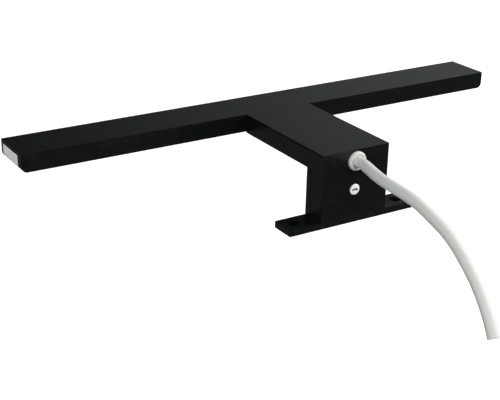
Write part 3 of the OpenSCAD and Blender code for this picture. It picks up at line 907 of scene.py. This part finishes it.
def make_leds():
    """LED packages with a round cup, and the phosphor that fills it."""
    low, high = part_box("leds")
    half_x, half_y, height = LED_HALF_LENGTH, (high.y - low.y) / 2, high.z - low.z
    pitch = (high.x - low.x - 2 * half_x) / (LED_COUNT - 1)
    first = (low.x + half_x, (low.y + high.y) / 2, high.z)
    body = stacked_rings("led_bodies", [
        soft_rectangle(half_x, half_y, 0), soft_rectangle(half_x, half_y, -height + 0.08 * MM),
        soft_rectangle(half_x - 0.06 * MM, half_y - 0.06 * MM, -height),
        circle_ring(1.15 * MM, -height), circle_ring(1.0 * MM, -height + 0.2 * MM),
    ])
    fill = stacked_rings("led_phosphor_fill", [
        circle_ring(1.06 * MM, -height + 0.19 * MM), circle_ring(1.11 * MM, -height + 0.06 * MM),
        circle_ring(0.6 * MM, -height + 0.02 * MM),
    ])
    for unit, finish in ((body, LED_BODY), (fill, LED_PHOSPHOR)):
        row = grid_of(unit.name, unit, LED_COUNT, 1, (pitch, 0, 0), (0, 0, 0), first, finish)
        stand_for(row, "leds", "lamp_head")


make_leds()


# ---- housing screws, seen in their pockets on the underside ----

def make_housing_screws():
    """Pan heads with a cross recess and a threaded shank, pointing up into the top housing."""
    low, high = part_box("housing_screws")
    head_r = 2.2 * MM
    head_height = 1.4 * MM
    shank_r = 1.05 * MM
    length = high.z - low.z
    recess_length, recess_width, recess_depth = 2.4 * MM, 0.5 * MM, 0.7 * MM
    outline = [
        (0.05 * MM, 0), (head_r * 0.55, 0.02 * MM), (head_r * 0.85, 0.2 * MM),
        (head_r, 0.6 * MM), (head_r, head_height), (0.05 * MM, head_height),
    ]
    head = add_object("housing_screw_set", turned_shape("housing_screw_set", outline, 0, 0, 24, False))
    for wide, tall in ((recess_length, recess_width), (recess_width, recess_length)):
        cut_away(head, box_mesh((-wide / 2, -1 * MM, -tall / 2), (wide / 2, recess_depth, tall / 2)))
    root_y = head_height - 0.02 * MM
    thread = thread_radius(shank_r, root_y, length)
    join_meshes(head, add_object("shank", helix_surface("shank", thread, root_y, length, 0, 40, 12)))
    head.data.transform(Matrix.Rotation(math.pi / 2, 4, "X"))
    unit = head.data.copy()
    bpy.data.objects.remove(head)
    first = (low.x + head_r, low.y + head_r, low.z)
    columns_apart = high.x - low.x - 2 * head_r
    rows_apart = high.y - low.y - 2 * head_r
    screws = grid_of("housing_screw_set", unit, 2, 2, (columns_apart, 0, 0), (0, rows_apart, 0), first,
                     BLACK_OXIDE_AND_SLOT_SHADE)
    stand_for(screws, "housing_screws", "lamp_head")


def box_mesh(low, high):
    """Plain block between two corners, used only to cut with."""
    corners = [(x, y, z) for x in (low[0], high[0]) for y in (low[1], high[1]) for z in (low[2], high[2])]
    faces = [(0, 1, 3, 2), (4, 6, 7, 5), (0, 4, 5, 1), (2, 3, 7, 6), (0, 2, 6, 4), (1, 5, 7, 3)]
    return mesh_from("cutting_block", corners, faces, smooth=False)


make_housing_screws()


# ---- CAD nodes that keep their shape ----

CAD_FINISHES = {
    "led_tape": HEAT_TAPE, "led_board": BOARD_WHITE, "driver_board": BOARD_GREEN,
    "bulk_capacitor": SLEEVE, "film_capacitor": FILM_BOX, "inductor": WINDING,
    "bridge_rectifier": CHIP_EPOXY, "fuse": NICKEL, "varistor": VARISTOR_BLUE, "driver_chip": CHIP_EPOXY,
    "chip_resistors": CHIP_EPOXY, "input_terminal": TERMINAL_GREEN, "output_connector": CONNECTOR_WHITE,
    "insulation_sheet": INSULATION, "board_screws": ZINC, "live_wire": WIRE_BROWN,
    "neutral_wire": WIRE_BLUE, "led_wire_positive": WIRE_RED, "led_wire_negative": WIRE_BLACK,
    "cord_clamp": ZINC, "cord_clamp_screws": ZINC, "cable_tail": CABLE_WHITE, "screw_retainer": ZINC,
    "threaded_insert": BRASS,
}
for node, material in CAD_FINISHES.items():
    CAD[node].data.materials.clear()
    CAD[node].data.materials.append(material)


# ---- studio ----

FLOOR_DROP = 0.16
FLOOR_HALF = 6
WHITE = (1.0, 1.0, 1.0, 1.0)
LIT_SPOT = (0, 0, 0.02)
# Panel, place, width and power in watts.
PANELS = [
    ("key_panel", (-1.35, 0.45, 0.78), 0.9, 37),
    ("rear_fill", (0.15, 1.5, 0.75), 0.8, 17),
    ("side_fill", (1.4, 0.5, 0.45), 0.8, 14),
    ("under_fill", (0.6, -0.7, -0.9), 0.9, 5),
]


def light_panel(name, place, size, power):
    """Soft square light aimed at the lit spot. Reflections don't show it: they show the world."""
    data = bpy.data.lights.new(name, "AREA")
    data.shape = "SQUARE"
    data.size = size
    data.energy = power
    panel = bpy.data.objects.new(name, data)
    aim = (Vector(LIT_SPOT) - Vector(place)).to_track_quat("-Z", "Y").to_matrix().to_4x4()
    panel.matrix_world = Matrix.Translation(place) @ aim
    bpy.context.scene.collection.objects.link(panel)
    panel.visible_glossy = False


def make_floor():
    """Pale floor that fades into the backdrop and can be looked through from below."""
    z = cad_box[0].z - FLOOR_DROP
    h = FLOOR_HALF
    corners = [(-h, -h, z), (h, -h, z), (h, h, z), (-h, h, z)]
    mesh = mesh_from("floor", corners, [(0, 1, 2, 3)], smooth=False)
    material = bpy.data.materials.new("floor")
    material.use_nodes = True
    tree = material.node_tree
    tree.nodes.clear()
    diffuse = tree.nodes.new("ShaderNodeBsdfDiffuse")
    diffuse.inputs["Color"].default_value = (0.30, 0.30, 0.30, 1.0)
    glow = tree.nodes.new("ShaderNodeEmission")
    glow.inputs["Color"].default_value = WHITE
    glow.inputs["Strength"].default_value = 0.98
    both = tree.nodes.new("ShaderNodeAddShader")
    clear = tree.nodes.new("ShaderNodeBsdfTransparent")
    below = tree.nodes.new("ShaderNodeNewGeometry")
    choice = tree.nodes.new("ShaderNodeMixShader")
    out = tree.nodes.new("ShaderNodeOutputMaterial")
    tree.links.new(diffuse.outputs[0], both.inputs[0])
    tree.links.new(glow.outputs[0], both.inputs[1])
    tree.links.new(below.outputs["Backfacing"], choice.inputs[0])
    tree.links.new(both.outputs[0], choice.inputs[1])
    tree.links.new(clear.outputs[0], choice.inputs[2])
    tree.links.new(choice.outputs[0], out.inputs["Surface"])
    floor = add_object("floor", mesh, material)
    floor.visible_glossy = False
    floor.visible_diffuse = False


def make_world():
    """White to the camera; what reflects it sees a dim room, brighter above the horizon towards -X."""
    world = bpy.data.worlds.new("studio")
    bpy.context.scene.world = world
    world.use_nodes = True
    tree = world.node_tree
    tree.nodes.clear()
    direction = tree.nodes.new("ShaderNodeTexCoord").outputs["Generated"]
    axes = tree.nodes.new("ShaderNodeSeparateXYZ")
    tree.links.new(direction, axes.inputs["Vector"])
    bright_side = add_range(tree, axes.outputs["X"], -0.2, -1.0, 0.0, 0.42)
    upper = add_range(tree, axes.outputs["Z"], -0.05, 0.20, 0.06, 1.0)
    lower = add_range(tree, axes.outputs["Z"], 0.05, -0.3, 0.0, 0.05)
    dim_side = add_range(tree, axes.outputs["X"], 0.05, 0.6, 0.015, 0.05)
    reflected = add_math(tree, "MULTIPLY", bright_side, upper)
    strength = add_math(tree, "ADD", add_math(tree, "ADD", reflected, lower), dim_side)
    room = tree.nodes.new("ShaderNodeBackground")
    room.inputs["Color"].default_value = (0.92, 1.0, 0.97, 1.0)
    tree.links.new(strength, room.inputs["Strength"])
    seen = tree.nodes.new("ShaderNodeBackground")
    seen.inputs["Color"].default_value = WHITE
    path = tree.nodes.new("ShaderNodeLightPath")
    choice = tree.nodes.new("ShaderNodeMixShader")
    out = tree.nodes.new("ShaderNodeOutputWorld")
    tree.links.new(path.outputs["Is Camera Ray"], choice.inputs[0])
    tree.links.new(room.outputs[0], choice.inputs[1])
    tree.links.new(seen.outputs[0], choice.inputs[2])
    tree.links.new(choice.outputs[0], out.inputs["Surface"])


make_floor()
make_world()
for panel in PANELS:
    light_panel(*panel)
bpy.context.scene.view_settings.view_transform = "Standard"
